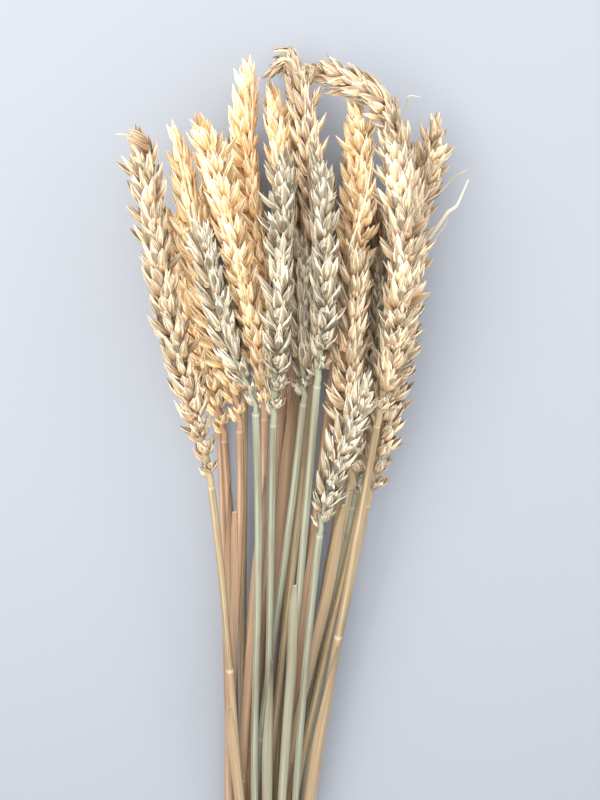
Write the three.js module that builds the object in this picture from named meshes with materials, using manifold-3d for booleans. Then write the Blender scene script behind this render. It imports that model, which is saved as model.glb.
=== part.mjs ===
// A bundle of dried wheat lying on a flat surface: 27 stalks, each a straw with one ear, bound with natural
// twine. Millimetres, +Z up. The origin is on the surface, straight under the middle of the binding. The
// ears lie towards +Y, and the cut ends of the straws towards -Y.
import * as THREE from "three";
import { mergeVertices } from "three/addons/utils/BufferGeometryUtils.js";
import Module from "manifold-3d";

const wasm = await Module();
wasm.setup();

// Straws
const STRAW_RADIUS = 1.45;
const STRAW_SIDES = 6;
const STRAW_SPANS_BELOW_TIE = 2;
const STRAW_SPANS_ABOVE_TIE = 5;
const STRAW_NECK_TAPER = 0.8; // radius under the ear, as a share of the straw's
const FOOT_Y = -95; // where the straws are cut
const FOOT_STAGGER = 7; // how far the cuts lie from one line
const FOOT_SPREAD = 1.9; // how much wider the straws stand at the cut than at the tie

// The pack of straws at the tie: rows of a hexagonal grid, the lowest row first
const TIE_ROWS = [7, 7, 7, 6];
const TIE_PITCH = 3.35;
const TIE_ROW_STEP = (TIE_PITCH * Math.sqrt(3)) / 2;
const FOOT_ROW_STEP = 4.4;
const FOOT_LOWEST_Z = 2.2;
const LOOSE_Y = 75; // where the straws stand looser, between the tie and the ears
const LOOSE_SPREAD = 1.5;
const LOOSE_LIFT = 0.8;
const LOOSE_ROW_LIFT = 2.2;

// Twine
const TWINE_RADIUS = 1.0;
const TWINE_TURNS = 3;
const TWINE_TURN_STEP = 1.8;
const TWINE_CREST = 0.45; // half the width of a turn's flat outer face
const TWINE_GROOVE = 0.3; // height of the groove between two turns over the twine's middle
const TWINE_PATH_STEPS = 24; // a multiple of four, so that the underside is one flat face
const TWINE_CLEARANCE = 0.4;

// Ears
const SPIKELET_STEP = 7.6; // along the ear, from one spikelet to the next on the other side
const BARE_NECK = 7; // length of bare rachis over the straw
const RACHIS_RADIUS = 1.3;
const RACHIS_SIDES = 4;
const RACHIS_SPANS = 5;
const RACHIS_TAPER = 0.8; // radius at its top, as a share of that at its foot
const SPIKELET_LENGTH = 14.5;
const SPIKELET_LEAN = THREE.MathUtils.degToRad(22); // away from the rachis
const BELLY = { height: 0.36, depth: 2.9, halfWidth: 4.4 };
const OUTER_TIP = { height: 1, depth: 1.4 };
const SIDE_TIP = { height: 0.93, depth: 2.6, halfWidth: 5.7 };
const NOTCH = { height: 0.6, depth: 2.3, halfWidth: 3.1 };
const NOTCH_HEIGHT = 0.55; // bottom of the cup, as a share of the spikelet's length
const ROOT_OFFSET = 0.5; // from the rachis's middle to a spikelet's root
const ROOT_DEPTH = 2; // how far the top spikelet's root is sunk into the rachis
const TOP_SPIKELET = 0.8; // size of the spikelet at the tip
const FOOT_SPIKELET = 0.55; // size of the lowest spikelet, and how fast the next ones gain on it
const FOOT_GROWTH = 2.2;
const TOP_GROWTH = 1.5; // how fast the spikelets gain size downwards from the tip
const UNEVEN_SIZE = 0.12; // how much spikelets differ in size, in lean and in how far their husks part
const UNEVEN_LEAN = 0.3;
const UNEVEN_SPREAD = 0.25;
const EAR_TWIST = THREE.MathUtils.degToRad(0.5); // turn of the rows for each millimetre of ear
const EAR_REACH = 7.2; // radius that an ear fills where nothing presses on it
const EAR_FILLING = 16; // length over which it grows to that radius
const HUSK_REACH = 9; // the furthest that a husk's tip stands from the rachis

const TOUCHING_GAP = 0.5; // left free between two ears
const STRAW_GAP = 0.4; // left free between an ear and a straw
const FREE_SHARE = 0.35; // share of the way to a neighbour in which an ear keeps its own shape
const PRESSING_PASSES = 4; // times that a point is moved behind each neighbour in turn
const STATION_STEP = 4; // along a stalk, between the points that neighbours are measured from
const NODE_GAP = 0.3; // left free between an ear and its own straw

const SEED = 7;
const UP = new THREE.Vector3(0, 0, 1);

// One line for each stalk, from the lowest row to the top one and from left to right. ear holds the points
// that the ear's rachis passes through, from the top of the straw to the tip, and girth is the ear's width
// as a share of a full one. face turns the two rows of spikelets about the rachis: at 0 degrees the rows lie
// left and right, and at 90 one row faces up.
const STALKS = [
  { row: 0, face: 60, girth: 1.1, tone: "gold", ear: [[-17, 231, 6], [-21, 267, 6], [-19, 307, 8]] },
  { row: 0, face: 15, girth: 1.1, tone: "cream", ear: [[-8, 241, 6], [-8, 285, 7], [-8, 325, 11]] },
  { row: 0, face: 70, girth: 1.1, tone: "grey", ear: [[4, 209, 6], [7, 242, 6], [6, 275, 7]] },
  { row: 0, face: 40, girth: 1.1, tone: "cream", ear: [[15, 240, 5], [19, 280, 6], [20, 313, 8]] },
  { row: 0, face: 80, girth: 1.1, tone: "gold", ear: [[23, 235, 5], [28, 275, 6], [29, 317, 8]] },
  { row: 0, face: 20, girth: 1.1, tone: "cream", ear: [[30, 231, 5], [36, 267, 5], [38, 303, 7]] },
  { row: 0, face: 50, girth: 1.1, tone: "grey", ear: [[35, 225, 6], [45, 260, 6], [48, 295, 8]] },
  { row: 1, face: 30, girth: 1.1, tone: "gold", ear: [[-14, 225, 20], [-22, 262, 23], [-29, 303, 26]] },
  { row: 1, face: 15, girth: 1.1, tone: "gold",
    ear: [[6, 249, 20], [0.5, 280, 25], [-4.5, 316, 29], [-2, 343, 32]] },
  { row: 1, face: 60, girth: 1.15, tone: "gold", ear: [[9, 256, 25], [7, 289, 28], [3.5, 337, 33]] },
  { row: 1, face: 35, girth: 0.8, tone: "cream",
    ear: [[11, 262, 16], [12, 310, 18], [8, 343, 20], [0, 340, 19]] },
  { row: 1, face: 50, girth: 1.25, tone: "gold", ear: [[21, 247, 22], [28, 298, 29], [28, 333, 32]] },
  { row: 1, face: 75, girth: 1.1, tone: "grey", ear: [[29, 199, 15], [36, 245, 20], [36, 288, 21]] },
  { row: 1, face: 35, girth: 1.15, tone: "cream", ear: [[38, 240, 17], [43, 284, 19], [53, 328, 24]] },
  { row: 2, face: 25, girth: 1.0, tone: "gold", ear: [[-8, 233, 33], [-17, 282, 41], [-23, 326, 42]] },
  { row: 2, face: 70, girth: 1.15, tone: "gold", ear: [[0, 238, 36], [-8, 292, 44], [-16, 328, 46]] },
  { row: 2, face: 30, girth: 1.05, tone: "grey", ear: [[12, 243, 37], [11, 267, 41], [11, 296, 42]] },
  { row: 2, face: 25, girth: 0.9, tone: "cream", ear: [[16, 265, 31], [14, 312, 38], [10, 344, 43]] },
  { row: 2, face: 30, girth: 1.25, tone: "cream", ear: [[27, 215, 35], [26, 257, 45], [27, 295, 47]] },
  { row: 2, face: 40, girth: 0.95, tone: "cream",
    ear: [[43, 274, 30], [43, 304, 32], [33, 331, 38], [11, 342, 40]] },
  { row: 2, face: 20, girth: 1.1, tone: "cream", ear: [[33, 206, 29], [40, 262, 39], [44, 302, 42]] },
  { row: 3, face: 55, girth: 1.1, tone: "cream",
    ear: [[-16.5, 218, 43], [-26.5, 276, 51], [-31.5, 324.5, 52]] },
  { row: 3, face: 15, girth: 0.75, tone: "grey", ear: [[-2, 244, 50], [-10, 269, 55], [-17, 303, 57]] },
  { row: 3, face: 65, girth: 1.1, tone: "grey", ear: [[3, 239, 45], [5, 273, 53], [8, 319, 55]] },
  { row: 3, face: 60, girth: 1.1, tone: "grey", ear: [[16, 252, 48], [17.5, 281, 53], [15.5, 319, 55]] },
  { row: 3, face: 40, girth: 0.85, tone: "grey", ear: [[17, 204, 48], [23, 235, 55], [31.5, 258, 57]] },
  { row: 3, face: 65, girth: 1.15, tone: "cream", ear: [[34, 239, 46], [39, 288, 53], [35, 325, 54]] },
];

const EAR_COLOURS = { cream: "#ddc7a0", gold: "#d6ae74", grey: "#c6bd9d" };
const STRAW_COLOURS = { cream: "#cbb489", gold: "#c49a72", grey: "#b3b093" };
const TWINE_COLOUR = "#a98a5c";

// Draws the same numbers in every run.
function seededRandom(seed) {
  let state = seed;
  return () => {
    state = (state * 16807) % 2147483647;
    return state / 2147483647;
  };
}

// A smooth line through the stalk's points. Its direction at each point follows the points on both sides.
class StalkAxis extends THREE.Curve {
  constructor(points) {
    super();
    this.points = points;
    this.spans = points.slice(1).map((p, i) => p.distanceTo(points[i]));
    this.slopes = points.map((p, i) => {
      const before = points[Math.max(i - 1, 0)];
      const after = points[Math.min(i + 1, points.length - 1)];
      const run = (this.spans[i - 1] ?? 0) + (this.spans[i] ?? 0);
      return after.clone().sub(before).divideScalar(run);
    });
    this.arcLengthDivisions = 60 * this.spans.length;
  }

  getPoint(t, target = new THREE.Vector3()) {
    const place = t * this.spans.length;
    const i = Math.min(Math.floor(place), this.spans.length - 1);
    const u = place - i;
    const span = this.spans[i];
    return target
      .set(0, 0, 0)
      .addScaledVector(this.points[i], 2 * u ** 3 - 3 * u ** 2 + 1)
      .addScaledVector(this.slopes[i], (u ** 3 - 2 * u ** 2 + u) * span)
      .addScaledVector(this.points[i + 1], 3 * u ** 2 - 2 * u ** 3)
      .addScaledVector(this.slopes[i + 1], (u ** 3 - u ** 2) * span);
  }
}

// Where a straw passes through the tie, and where it is cut.
function tieSlot(row, column) {
  const count = TIE_ROWS[row];
  const x = (column - (count - 1) / 2 + (row % 2 ? 0.25 : -0.25)) * TIE_PITCH;
  const lowest = (2 * TWINE_RADIUS + TWINE_CLEARANCE + STRAW_RADIUS) * Math.cos(Math.PI / TWINE_PATH_STEPS);
  const z = lowest + row * TIE_ROW_STEP;
  return new THREE.Vector3(x, 0, z);
}

function layStalks() {
  const random = seededRandom(SEED);
  const placed = TIE_ROWS.map(() => 0);
  return STALKS.map((stalk, number) => {
    const tie = tieSlot(stalk.row, placed[stalk.row]++);
    const foot = new THREE.Vector3(
      tie.x * FOOT_SPREAD,
      FOOT_Y + (2 * random() - 1) * FOOT_STAGGER,
      FOOT_LOWEST_Z + stalk.row * FOOT_ROW_STEP,
    );
    const lift = LOOSE_LIFT + stalk.row * LOOSE_ROW_LIFT;
    const loose = new THREE.Vector3(tie.x * LOOSE_SPREAD, LOOSE_Y, tie.z + lift);
    const axis = new StalkAxis([foot, tie, loose, ...stalk.ear.map((point) => new THREE.Vector3(...point))]);
    const lengths = axis.getLengths();
    const lengthTo = (knot) => lengths[Math.round((knot / axis.spans.length) * axis.arcLengthDivisions)];
    return { ...stalk, number, axis, tieAt: lengthTo(1), earAt: lengthTo(3), length: lengths.at(-1) };
  });
}

// The axis at an arc length, with two directions across it.
function frameAt(stalk, along) {
  const t = THREE.MathUtils.clamp(along / stalk.length, 0, 1);
  const centre = stalk.axis.getPointAt(t);
  const tangent = stalk.axis.getTangentAt(t);
  centre.addScaledVector(tangent, along - t * stalk.length);
  const side = new THREE.Vector3().crossVectors(tangent, UP).normalize();
  const up = new THREE.Vector3().crossVectors(side, tangent);
  return { centre, tangent, side, up };
}

// How far a stalk reaches from its axis: a thin straw and neck, and then the ear.
function reachAt(stalk, along) {
  const inEar = Math.max(0, along - stalk.earAt);
  return Math.min(EAR_REACH * stalk.girth, STRAW_RADIUS + (inEar * EAR_REACH) / EAR_FILLING);
}

// Points along a stalk's axis, for finding what lies near it.
function stationsOf(stalk) {
  const count = Math.ceil(stalk.length / STATION_STEP);
  return Array.from({ length: count + 1 }, (_, i) => {
    const along = (i / count) * stalk.length;
    return { along, point: frameAt(stalk, along).centre };
  });
}

const stalks = layStalks();
for (const stalk of stalks) stalk.stations = stationsOf(stalk);

// The nearest place on a stalk's axis to a point.
function nearestOn(stalk, point) {
  let best = { distance: Infinity };
  const line = new THREE.Line3();
  const foot = new THREE.Vector3();
  for (let i = 0; i + 1 < stalk.stations.length; i++) {
    line.set(stalk.stations[i].point, stalk.stations[i + 1].point);
    const share = line.closestPointToPointParameter(point, true);
    line.at(share, foot);
    const distance = foot.distanceTo(point);
    if (distance < best.distance) {
      const along = THREE.MathUtils.lerp(stalk.stations[i].along, stalk.stations[i + 1].along, share);
      best = { distance, along, point: foot.clone() };
    }
  }
  return best;
}

// Ears that lie against each other press each other flat. The planes that a point of an ear stays behind:
// halfway to a neighbouring ear, and clear of a straw.
function pressingPlanes(stalk, along) {
  const { centre } = frameAt(stalk, along);
  const own = reachAt(stalk, along);
  const planes = [];
  for (const other of stalks) {
    if (other === stalk) continue;
    const near = nearestOn(other, centre);
    const isStraw = near.along < other.earAt;
    const reach = reachAt(other, near.along);
    if (near.distance > own + reach + STRAW_GAP) continue;
    const limit = isStraw
      ? near.distance - STRAW_RADIUS - STRAW_GAP
      : (near.distance * own) / (own + reach) - TOUCHING_GAP / 2;
    planes.push({ normal: near.point.sub(centre).normalize(), limit });
  }
  return planes;
}

// Moves a point of an ear behind its planes, and up onto the surface.
function press(point, stalk, along) {
  const key = Math.round(along);
  stalk.pressed ??= new Map();
  if (!stalk.pressed.has(key)) stalk.pressed.set(key, pressingPlanes(stalk, key));
  const planes = stalk.pressed.get(key);
  const { centre } = frameAt(stalk, along);
  const offset = point.clone().sub(centre);
  for (const { normal, limit } of planes) {
    const start = limit * FREE_SHARE;
    const height = offset.dot(normal);
    if (limit >= HUSK_REACH || height <= start) continue;
    offset.addScaledVector(normal, ((height - start) * (limit - HUSK_REACH)) / (HUSK_REACH - start));
  }
  for (let pass = 0; pass < PRESSING_PASSES; pass++) {
    for (const { normal, limit } of planes) {
      const over = offset.dot(normal) - limit;
      if (over > 0) offset.addScaledVector(normal, -over);
    }
  }
  offset.add(centre);
  offset.z = Math.max(offset.z, 0);
  return offset;
}

// Moves a straight shape onto a stalk: its Y is the length along the axis, and X and Z lie across it.
function bendOnto(geometry, stalk, { turn = () => 0, pressed = false } = {}) {
  const position = geometry.getAttribute("position");
  const point = new THREE.Vector3();
  for (let i = 0; i < position.count; i++) {
    point.fromBufferAttribute(position, i);
    const along = point.y;
    const { centre, side, up } = frameAt(stalk, along);
    const angle = turn(along);
    const across = point.x * Math.cos(angle) - point.z * Math.sin(angle);
    const above = point.x * Math.sin(angle) + point.z * Math.cos(angle);
    let placed = centre.addScaledVector(side, across).addScaledVector(up, above);
    if (pressed) placed = press(placed, stalk, along);
    position.setXYZ(i, placed.x, placed.y, placed.z);
  }
  return geometry;
}

function closedGeometry(geometry) {
  const bare = geometry.clone();
  bare.deleteAttribute("normal");
  bare.deleteAttribute("uv");
  return mergeVertices(bare, 1e-4);
}

function solidOf(geometry) {
  const closed = closedGeometry(geometry);
  const mesh = new wasm.Mesh({
    numProp: 3,
    vertProperties: new Float32Array(closed.getAttribute("position").array),
    triVerts: new Uint32Array(closed.index.array),
  });
  return new wasm.Manifold(mesh);
}

function geometryOf(solid) {
  const { numVert, numProp, vertProperties, triVerts } = solid.getMesh();
  const positions = new Float32Array(numVert * 3);
  for (let i = 0; i < numVert; i++) {
    positions.set(vertProperties.subarray(i * numProp, i * numProp + 3), i * 3);
  }
  return new THREE.BufferGeometry()
    .setAttribute("position", new THREE.BufferAttribute(positions, 3))
    .setIndex(new THREE.BufferAttribute(triVerts, 1));
}

function piece(name, geometry, color, roughness = 0.8) {
  const mesh = new THREE.Mesh(geometry, new THREE.MeshStandardMaterial({ color, roughness, metalness: 0 }));
  mesh.name = name;
  return mesh;
}

// One straw, from its cut end to just under the ear.
function strawGeometry(stalk) {
  const spans = STRAW_SPANS_BELOW_TIE + STRAW_SPANS_ABOVE_TIE;
  const top = stalk.earAt - NODE_GAP;
  const straw = new THREE.CylinderGeometry(STRAW_RADIUS, STRAW_RADIUS, spans, STRAW_SIDES, spans);
  straw.translate(0, spans / 2, 0);
  const position = straw.getAttribute("position");
  for (let i = 0; i < position.count; i++) {
    const ring = position.getY(i);
    const above = Math.max(0, ring - STRAW_SPANS_BELOW_TIE) / STRAW_SPANS_ABOVE_TIE;
    const below = Math.min(1, ring / STRAW_SPANS_BELOW_TIE);
    const along = stalk.tieAt * below + (top - stalk.tieAt) * above;
    const taper = THREE.MathUtils.lerp(1, STRAW_NECK_TAPER, above);
    position.setXYZ(i, position.getX(i) * taper, along, position.getZ(i) * taper);
  }
  return bendOnto(straw, stalk);
}

// One spikelet, with its root at the origin and its back to +X: a bellied cup whose rim stands up in three
// pointed husks, the middle one outwards (-X) and one to each side, with a notch between each two.
function spikeletGeometry(size, tipSpread) {
  const spikelet = new THREE.SphereGeometry(1, 6, 3);
  const position = spikelet.getAttribute("position");
  for (let i = 0; i < position.count; i++) {
    const outward = -position.getX(i);
    const across = position.getZ(i);
    const level = position.getY(i);
    const ring = Math.hypot(outward, across);
    if (ring < 0.1) {
      position.setXYZ(i, 0, level < 0 ? 0 : NOTCH_HEIGHT * SPIKELET_LENGTH * size, 0);
      continue;
    }
    const isTip = Math.cos(3 * Math.atan2(across, outward)) > 0;
    const isOuter = outward / ring > 0.9;
    const shape = level < 0 ? BELLY : isTip ? (isOuter ? OUTER_TIP : SIDE_TIP) : NOTCH;
    const spread = level < 0 ? 1 : tipSpread;
    position.setXYZ(
      i,
      (-outward / ring) * shape.depth * size * spread,
      shape.height * SPIKELET_LENGTH * size,
      (across / ring) * (shape.halfWidth ?? 0) * size * spread,
    );
  }
  return spikelet;
}

// Where along the ear a spikelet is full grown, and where it stays small.
function growthAt(share) {
  return Math.min(1, FOOT_SPIKELET + FOOT_GROWTH * share, TOP_SPIKELET + TOP_GROWTH * (1 - share));
}

// One ear: a rachis with spikelets by turns on its two sides, and one at its tip.
function earSolid(stalk, random) {
  const earLength = stalk.length - stalk.earAt;
  const turn = (along) => THREE.MathUtils.degToRad(stalk.face) + (along - stalk.earAt) * EAR_TWIST;
  const rachisLength = earLength - TOP_SPIKELET * SPIKELET_LENGTH;
  const rachis = new THREE.CylinderGeometry(
    RACHIS_RADIUS * RACHIS_TAPER,
    RACHIS_RADIUS,
    rachisLength,
    RACHIS_SIDES,
    RACHIS_SPANS,
  );
  rachis.translate(0, stalk.earAt + rachisLength / 2, 0);
  const solids = [solidOf(bendOnto(rachis, stalk, { turn }))];

  const addSpikelet = (along, out, lean, size, spread) => {
    const spikelet = spikeletGeometry(size, spread);
    spikelet.rotateZ(lean);
    spikelet.translate(-ROOT_OFFSET, 0, 0);
    if (out > 0) spikelet.rotateY(Math.PI);
    spikelet.scale(stalk.girth, 1, stalk.girth);
    spikelet.translate(0, along, 0);
    solids.push(solidOf(bendOnto(spikelet, stalk, { turn, pressed: true })));
  };

  const uneven = (range) => 1 + range * (random() - 0.5);
  const first = stalk.earAt + BARE_NECK;
  const last = stalk.earAt + rachisLength - ROOT_DEPTH;
  const count = Math.round((last - first) / SPIKELET_STEP);
  for (let i = 0; i < count; i++) {
    const along = first + ((last - first) * i) / count;
    const size = growthAt(i / count) * uneven(UNEVEN_SIZE);
    const lean = SPIKELET_LEAN * uneven(UNEVEN_LEAN);
    addSpikelet(along, i % 2 ? 1 : -1, lean, size, uneven(UNEVEN_SPREAD));
  }
  addSpikelet(last, count % 2 ? 1 : -1, 0, TOP_SPIKELET, 1);
  return largestBody(wasm.Manifold.union(solids));
}

// The outer body alone: a pocket that the husks close is filled, and a loose scrap is dropped.
function largestBody(solid) {
  return solid.decompose().sort((a, b) => b.volume() - a.volume())[0];
}

// The outline of the turns cut across, as places along the bundle and heights over the twine's middle: flat
// inside, and outside a crest for each turn with grooves between.
function twineSection() {
  const end = (TWINE_TURNS * TWINE_TURN_STEP) / 2;
  const outline = [];
  for (let turn = 0; turn < TWINE_TURNS; turn++) {
    const groove = end - turn * TWINE_TURN_STEP;
    const crest = groove - TWINE_TURN_STEP / 2;
    outline.push([groove, TWINE_GROOVE]);
    outline.push([crest + TWINE_CREST, TWINE_RADIUS], [crest - TWINE_CREST, TWINE_RADIUS]);
  }
  return [...outline, [-end, TWINE_GROOVE], [-end, -TWINE_RADIUS], [end, -TWINE_RADIUS]];
}

// The binding: the turns run round the straws that lie furthest out, and lie flat on the surface.
function tieGeometry() {
  const section = twineSection();
  const around = STRAW_RADIUS + TWINE_CLEARANCE + TWINE_RADIUS;
  const tie = new THREE.TorusGeometry(2, 1, section.length, TWINE_PATH_STEPS);
  const position = tie.getAttribute("position");
  for (let i = 0; i < position.count; i++) {
    const [y, height] = section[Math.floor(i / (TWINE_PATH_STEPS + 1)) % section.length];
    const angle = (((i % (TWINE_PATH_STEPS + 1)) + 0.5) / TWINE_PATH_STEPS) * 2 * Math.PI;
    const outward = new THREE.Vector3(Math.cos(angle), 0, Math.sin(angle));
    const outermost = stalks
      .map((stalk) => frameAt(stalk, stalk.tieAt + y).centre)
      .reduce((a, b) => (b.dot(outward) > a.dot(outward) ? b : a));
    const placed = outward.multiplyScalar(around + height).add(outermost);
    position.setXYZ(i, placed.x, y, Math.max(placed.z, 0));
  }
  return tie;
}

const bundle = new THREE.Group();
const random = seededRandom(SEED + 1);
for (const stalk of stalks) {
  const label = String(stalk.number + 1).padStart(2, "0");
  const ear = geometryOf(earSolid(stalk, random));
  bundle.add(piece("ear_" + label, ear, EAR_COLOURS[stalk.tone]));
  bundle.add(piece("straw_" + label, strawGeometry(stalk), STRAW_COLOURS[stalk.tone], 0.6));
}
bundle.add(piece("tie", tieGeometry(), TWINE_COLOUR, 0.9));

export default bundle;
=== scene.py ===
# A bundle of dried wheat lying on a pale surface: 27 straws, each with its ear, bound with natural twine.
# Metres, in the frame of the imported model: ears towards +Y, cut ends towards -Y, surface at z = 0.
import functools
import math

import bpy
import numpy as np
from mathutils import Matrix, Vector


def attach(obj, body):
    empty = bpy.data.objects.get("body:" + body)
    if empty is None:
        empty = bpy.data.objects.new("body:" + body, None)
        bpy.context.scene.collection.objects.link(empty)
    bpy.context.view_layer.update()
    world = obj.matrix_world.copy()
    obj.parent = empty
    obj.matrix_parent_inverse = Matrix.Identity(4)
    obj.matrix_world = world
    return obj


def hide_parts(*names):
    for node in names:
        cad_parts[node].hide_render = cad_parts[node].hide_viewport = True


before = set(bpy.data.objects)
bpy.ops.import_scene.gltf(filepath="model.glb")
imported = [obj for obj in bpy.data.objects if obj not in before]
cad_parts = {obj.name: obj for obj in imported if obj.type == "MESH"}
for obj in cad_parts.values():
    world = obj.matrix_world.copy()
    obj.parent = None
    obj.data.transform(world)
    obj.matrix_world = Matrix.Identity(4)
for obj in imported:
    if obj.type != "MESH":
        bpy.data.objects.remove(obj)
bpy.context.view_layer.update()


# Camera. It looks down on the lying bundle, and a little back towards the cut ends, so that the ears fill
# the upper two thirds of the picture and the straws run out at its lower edge.
MM = 0.001
CAMERA_PLACE = Vector((11, 325, 302)) * MM
CAMERA_TILT = math.radians(16.9)  # from straight down, towards the cut ends
LENS = 40.5  # on a sensor 36 high

camera_data = bpy.data.cameras.new("camera")
camera_data.sensor_fit = "VERTICAL"
camera_data.sensor_width = 36
camera_data.sensor_height = 36
camera_data.lens = LENS
camera_data.clip_start = 0.01
camera = bpy.data.objects.new("camera", camera_data)
camera.location = CAMERA_PLACE
camera.rotation_euler = (-CAMERA_TILT, 0, 0)
bpy.context.scene.collection.objects.link(camera)
bpy.context.scene.camera = camera


# Straws. Wheat straw is a thin hollow tube, closed by a few solid knots and dried to a satin skin with
# fine lengthwise ribs. Each is cut at the foot, so that one knot is left on it, and thins towards its ear.
STRAW_RADIUS = 1.45 * MM
NECK_TAPER = 0.8  # radius under the ear, as a share of the straw's
FOOT_Y = -95 * MM
FOOT_STAGGER = 7 * MM
FOOT_SPREAD = 1.9
TIE_ROWS = [7, 7, 7, 6]
TIE_PITCH = 3.35 * MM
TIE_ROW_STEP = TIE_PITCH * math.sqrt(3) / 2
FOOT_ROW_STEP = 4.4 * MM
FOOT_LOWEST_Z = 2.2 * MM
LOOSE_Y = 75 * MM
LOOSE_SPREAD = 1.5
LOOSE_LIFT = 0.8 * MM
LOOSE_ROW_LIFT = 2.2 * MM
TWINE_RADIUS = 1.0 * MM
TWINE_CLEARANCE = 0.4 * MM
TWINE_PATH_STEPS = 24
SEED = 7

# One line for each stalk, from the lowest row to the top one and from left to right: its row, the angle of
# its two rows of spikelets about the rachis, the ear's girth as a share of a full one, its tone, and the
# points in millimetres that the rachis passes.
STALKS = [
    (0, 60, 1.1, "gold", [(-17, 231, 6), (-21, 267, 6), (-19, 307, 8)]),
    (0, 15, 1.1, "cream", [(-8, 241, 6), (-8, 285, 7), (-8, 325, 11)]),
    (0, 70, 1.1, "grey", [(4, 209, 6), (7, 242, 6), (6, 275, 7)]),
    (0, 40, 1.1, "cream", [(15, 240, 5), (19, 280, 6), (20, 313, 8)]),
    (0, 80, 1.1, "gold", [(23, 235, 5), (28, 275, 6), (29, 317, 8)]),
    (0, 20, 1.1, "cream", [(30, 231, 5), (36, 267, 5), (38, 303, 7)]),
    (0, 50, 1.1, "grey", [(35, 225, 6), (45, 260, 6), (48, 295, 8)]),
    (1, 30, 1.1, "gold", [(-14, 225, 20), (-22, 262, 23), (-29, 303, 26)]),
    (1, 15, 1.1, "gold", [(6, 249, 20), (0.5, 280, 25), (-4.5, 316, 29), (-2, 343, 32)]),
    (1, 60, 1.15, "gold", [(9, 256, 25), (7, 289, 28), (3.5, 337, 33)]),
    (1, 35, 0.8, "cream", [(11, 262, 16), (12, 310, 18), (8, 343, 20), (0, 340, 19)]),
    (1, 50, 1.25, "gold", [(21, 247, 22), (28, 298, 29), (28, 333, 32)]),
    (1, 75, 1.1, "grey", [(29, 199, 15), (36, 245, 20), (36, 288, 21)]),
    (1, 35, 1.15, "cream", [(38, 240, 17), (43, 284, 19), (53, 328, 24)]),
    (2, 25, 1.0, "gold", [(-8, 233, 33), (-17, 282, 41), (-23, 326, 42)]),
    (2, 70, 1.15, "gold", [(0, 238, 36), (-8, 292, 44), (-16, 328, 46)]),
    (2, 30, 1.05, "grey", [(12, 243, 37), (11, 267, 41), (11, 296, 42)]),
    (2, 25, 0.9, "cream", [(16, 265, 31), (14, 312, 38), (10, 344, 43)]),
    (2, 30, 1.25, "cream", [(27, 215, 35), (26, 257, 45), (27, 295, 47)]),
    (2, 40, 0.95, "cream", [(43, 274, 30), (43, 304, 32), (33, 331, 38), (11, 342, 40)]),
    (2, 20, 1.1, "cream", [(33, 206, 29), (40, 262, 39), (44, 302, 42)]),
    (3, 55, 1.1, "cream", [(-16.5, 218, 43), (-26.5, 276, 51), (-31.5, 324.5, 52)]),
    (3, 15, 0.75, "grey", [(-2, 244, 50), (-10, 269, 55), (-17, 303, 57)]),
    (3, 65, 1.1, "grey", [(3, 239, 45), (5, 273, 53), (8, 319, 55)]),
    (3, 60, 1.1, "grey", [(16, 252, 48), (17.5, 281, 53), (15.5, 319, 55)]),
    (3, 40, 0.85, "grey", [(17, 204, 48), (23, 235, 55), (31.5, 258, 57)]),
    (3, 65, 1.15, "cream", [(34, 239, 46), (39, 288, 53), (35, 325, 54)]),
]


def drawn_numbers(seed):
    """Numbers from 0 to 1 that look random and are the same in every run."""
    state = seed
    while True:
        state = state * 16807 % 2147483647
        yield state / 2147483647


def tie_slot(row, column):
    """Where a straw passes through the tie: the place in a pack of round rods."""
    shift = 0.25 if row % 2 else -0.25
    x = (column - (TIE_ROWS[row] - 1) / 2 + shift) * TIE_PITCH
    lowest = (2 * TWINE_RADIUS + TWINE_CLEARANCE + STRAW_RADIUS) * math.cos(math.pi / TWINE_PATH_STEPS)
    return np.array((x, 0, lowest + row * TIE_ROW_STEP))


class Stalk:
    """The middle line of a straw and its ear: a smooth curve through its knots."""

    STEPS = 60  # for each span between two knots

    def __init__(self, number, face, girth, tone, knots):
        self.number = number
        self.face = math.radians(face)
        self.girth = girth
        self.tone = tone
        spans = np.linalg.norm(np.diff(knots, axis=0), axis=1)
        before = np.concatenate([[0], spans])
        after = np.concatenate([spans, [0]])
        rise = np.concatenate([knots[1:], knots[-1:]]) - np.concatenate([knots[:1], knots[:-1]])
        slopes = rise / (before + after)[:, None]
        u = np.linspace(0, 1, self.STEPS + 1)[:, None]
        line = [knots[:1]]
        for i, span in enumerate(spans):
            place = knots[i] * (2 * u**3 - 3 * u**2 + 1) + knots[i + 1] * (3 * u**2 - 2 * u**3)
            lean = slopes[i] * (u**3 - 2 * u**2 + u) + slopes[i + 1] * (u**3 - u**2)
            line.append((place + lean * span)[1:])
        self.line = np.concatenate(line)
        steps = np.linalg.norm(np.diff(self.line, axis=0), axis=1)
        self.lengths = np.concatenate([[0], np.cumsum(steps)])
        self.length = self.lengths[-1]
        self.tie_at = self.lengths[self.STEPS]
        self.ear_at = self.lengths[3 * self.STEPS]
        self.tangents = np.gradient(self.line, self.lengths, axis=0)

    def frames(self, along):
        """The middle and three directions at lengths along the stalk: across, up and lengthwise."""
        inside = np.clip(along, 0, self.length)
        middle = np.stack([np.interp(inside, self.lengths, column) for column in self.line.T], axis=1)
        tangent = np.stack([np.interp(inside, self.lengths, column) for column in self.tangents.T], axis=1)
        tangent /= np.linalg.norm(tangent, axis=1, keepdims=True)
        middle = middle + tangent * (along - inside)[:, None]
        side = np.cross(tangent, (0, 0, 1))
        side /= np.linalg.norm(side, axis=1, keepdims=True)
        return middle, side, np.cross(side, tangent), tangent


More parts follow.
